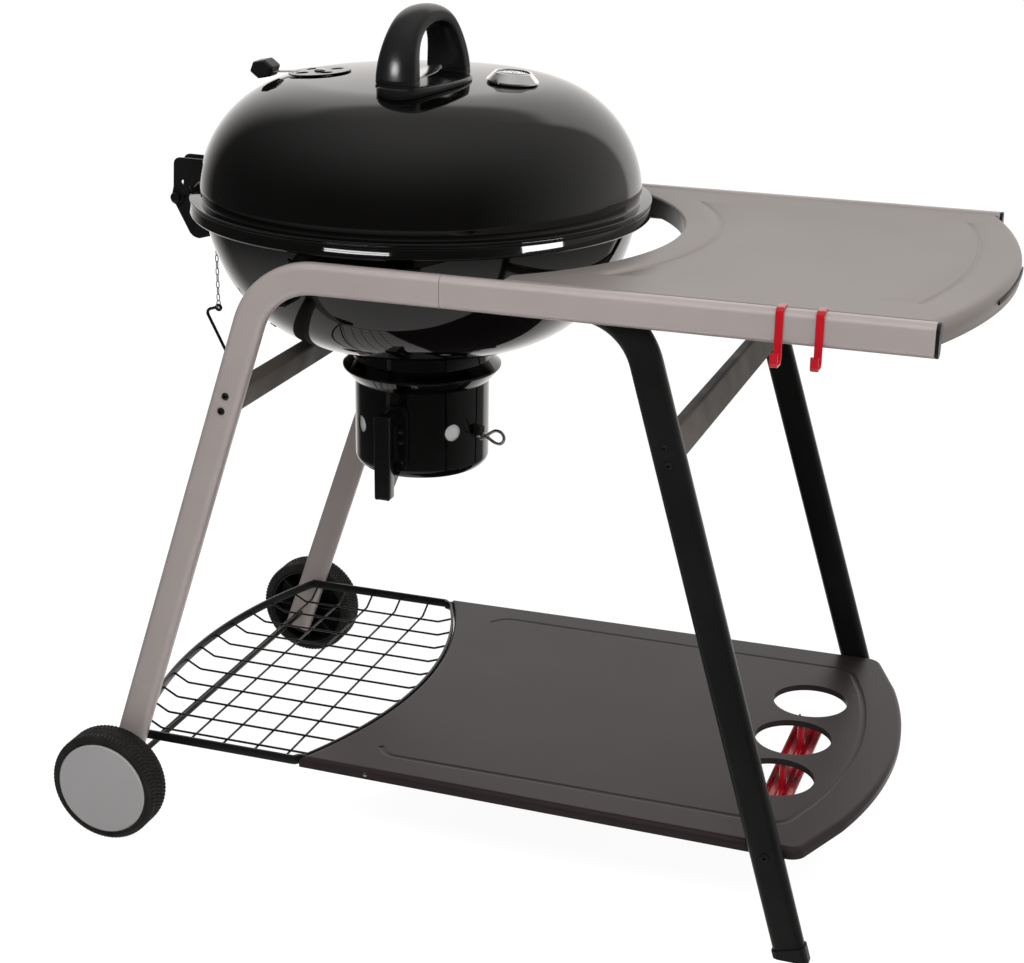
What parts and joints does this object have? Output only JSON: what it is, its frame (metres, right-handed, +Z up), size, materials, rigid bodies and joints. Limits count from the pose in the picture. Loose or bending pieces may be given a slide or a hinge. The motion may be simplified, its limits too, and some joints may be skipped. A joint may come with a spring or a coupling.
{
  "type": "kettle charcoal grill",
  "caption": "Round-lidded charcoal grill on a wheeled tube cart with a curved side table, ash can, and a bottom shelf with wire basket and bottle holes.",
  "frame": {"origin": "centre of the footprint at floor level", "axes": "+X from the kettle and wheels towards the side table, +Y away from the cook's side, +Z up"},
  "size_m": [1.1172, 0.6678, 1.041],
  "materials": {
    "taupe_paint": "satin metallic taupe paint",
    "black_paint": "satin black powder coat",
    "black_enamel": "high-gloss black porcelain enamel",
    "shelf_paint": "satin dark brown-grey paint",
    "black_plastic": "matt moulded black plastic",
    "tyre_black": "matt black tread",
    "hub_grey": "matt grey moulded plastic",
    "red_paint": "glossy red paint",
    "bright_steel": "bright satin steel",
    "chrome_trim": "polished",
    "plain_steel": "plated steel",
    "dial_white": "white printed dial",
    "dial_glass": "clear"
  },
  "bodies": {
    "cart": {"front_left_leg": "taupe_paint", "rear_left_leg": "taupe_paint", "front_side_rail": "taupe_paint", "rear_side_rail": "taupe_paint", "side_table": "taupe_paint", "left_cross_brace": "taupe_paint", "right_cross_brace": "taupe_paint", "front_right_leg": "black_paint", "rear_right_leg": "black_paint", "wire_basket": "black_paint", "axle": "black_paint", "bowl_bracket_front_left": "black_paint", "bowl_bracket_front_right": "black_paint", "bowl_bracket_rear_left": "black_paint", "bowl_bracket_rear_right": "black_paint", "bowl_hinge": "black_paint", "bowl": "black_enamel", "ash_collar": "black_enamel", "shelf_panel": "shelf_paint", "front_rail_cap": "black_plastic", "rear_rail_cap": "black_plastic", "front_foot_plug": "black_plastic", "rear_foot_plug": "black_plastic", "front_leg_plug": "black_plastic", "rear_leg_plug": "black_plastic", "table_end_trim": "black_plastic", "bottle_rest": "red_paint", "hinge_pin": "chrome_trim", "front_rail_splice": "plain_steel", "rear_rail_splice": "plain_steel", "front_axle_clip": "plain_steel", "rear_axle_clip": "plain_steel"},
    "wheel_front": {"front_tyre": "tyre_black", "front_wheel": "black_plastic", "front_hub_cap": "hub_grey"},
    "wheel_rear": {"rear_tyre": "tyre_black", "rear_wheel": "black_plastic", "rear_hub_cap": "hub_grey"},
    "lid": {"lid": "black_enamel", "handle_base": "black_plastic", "lid_handle": "black_plastic", "handle_heat_shield": "bright_steel", "thermometer_case": "chrome_trim", "thermometer_dial": "dial_white", "thermometer_glass": "dial_glass", "vent_rivet": "chrome_trim", "lid_hinge": "black_paint"},
    "lid_vent": {"vent_damper": "black_enamel", "vent_knob": "black_plastic"},
    "ash_can": {"ash_can": "black_enamel", "ash_can_handle": "black_plastic"},
    "ash_damper": {"ash_can_damper": "plain_steel"},
    "ash_clip": {"ash_can_clip": "bright_steel"},
    "chain": {"pin_chain": "bright_steel"},
    "locking_pin": {"locking_pin": "black_paint"},
    "left_hook": {"left_hook": "red_paint"},
    "right_hook": {"right_hook": "red_paint"},
    "cooking_grate": {"cooking_grate": "plain_steel"},
    "charcoal_grate": {"charcoal_grate": "plain_steel"}
  },
  "joints": [
    {"name": "wheel_front_spin", "type": "hinge", "parent": "cart", "child": "wheel_front", "pos_m": [-0.48657, -0.31154, 0.072], "axis": [0, 1, 0], "continuous": true},
    {"name": "wheel_rear_spin", "type": "hinge", "parent": "cart", "child": "wheel_rear", "pos_m": [-0.48657, 0.31154, 0.072], "axis": [0, 1, 0], "continuous": true},
    {"name": "lid_open", "type": "hinge", "parent": "cart", "child": "lid", "pos_m": [-0.51473, 0, 0.77], "axis": [0, -1, 0], "range_deg": [0, 80]},
    {"name": "lid_vent_turn", "type": "hinge", "parent": "lid", "child": "lid_vent", "pos_m": [-0.30273, -0.027, 0.94442], "axis": [-0.0689, -0.015, 0.9975], "range_deg": [0, 45]},
    {"name": "ash_can_drop", "type": "slide", "parent": "cart", "child": "ash_can", "axis": [0, 0, -1], "range_m": [0, 0.12]},
    {"name": "ash_damper_turn", "type": "hinge", "parent": "ash_can", "child": "ash_damper", "pos_m": [-0.17873, 0, 0.508], "axis": [0, 0, 1], "range_deg": [0, 45]},
    {"name": "ash_clip_pull", "type": "slide", "parent": "ash_can", "child": "ash_clip", "axis": [0.9613, -0.2756, 0], "range_m": [0, 0.04]},
    {"name": "chain_swing", "type": "hinge", "parent": "cart", "child": "chain", "pos_m": [-0.46273, -0.00975, 0.7295], "axis": [0, 1, 0], "range_deg": [-25, 25]},
    {"name": "locking_pin_swing", "type": "hinge", "parent": "chain", "child": "locking_pin", "pos_m": [-0.46273, -0.00975, 0.6257], "axis": [0, 1, 0], "range_deg": [-30, 30]},
    {"name": "left_hook_slide", "type": "slide", "parent": "cart", "child": "left_hook", "axis": [1, 0, 0], "range_m": [-0.3, 0.03]},
    {"name": "right_hook_slide", "type": "slide", "parent": "cart", "child": "right_hook", "axis": [1, 0, 0], "range_m": [0, 0.11]},
    {"name": "cooking_grate_lift", "type": "slide", "parent": "cart", "child": "cooking_grate", "axis": [0, 0, 1], "range_m": [0, 0.012]},
    {"name": "charcoal_grate_lift", "type": "slide", "parent": "cart", "child": "charcoal_grate", "axis": [0, 0, 1], "range_m": [0, 0.05]}
  ]
}
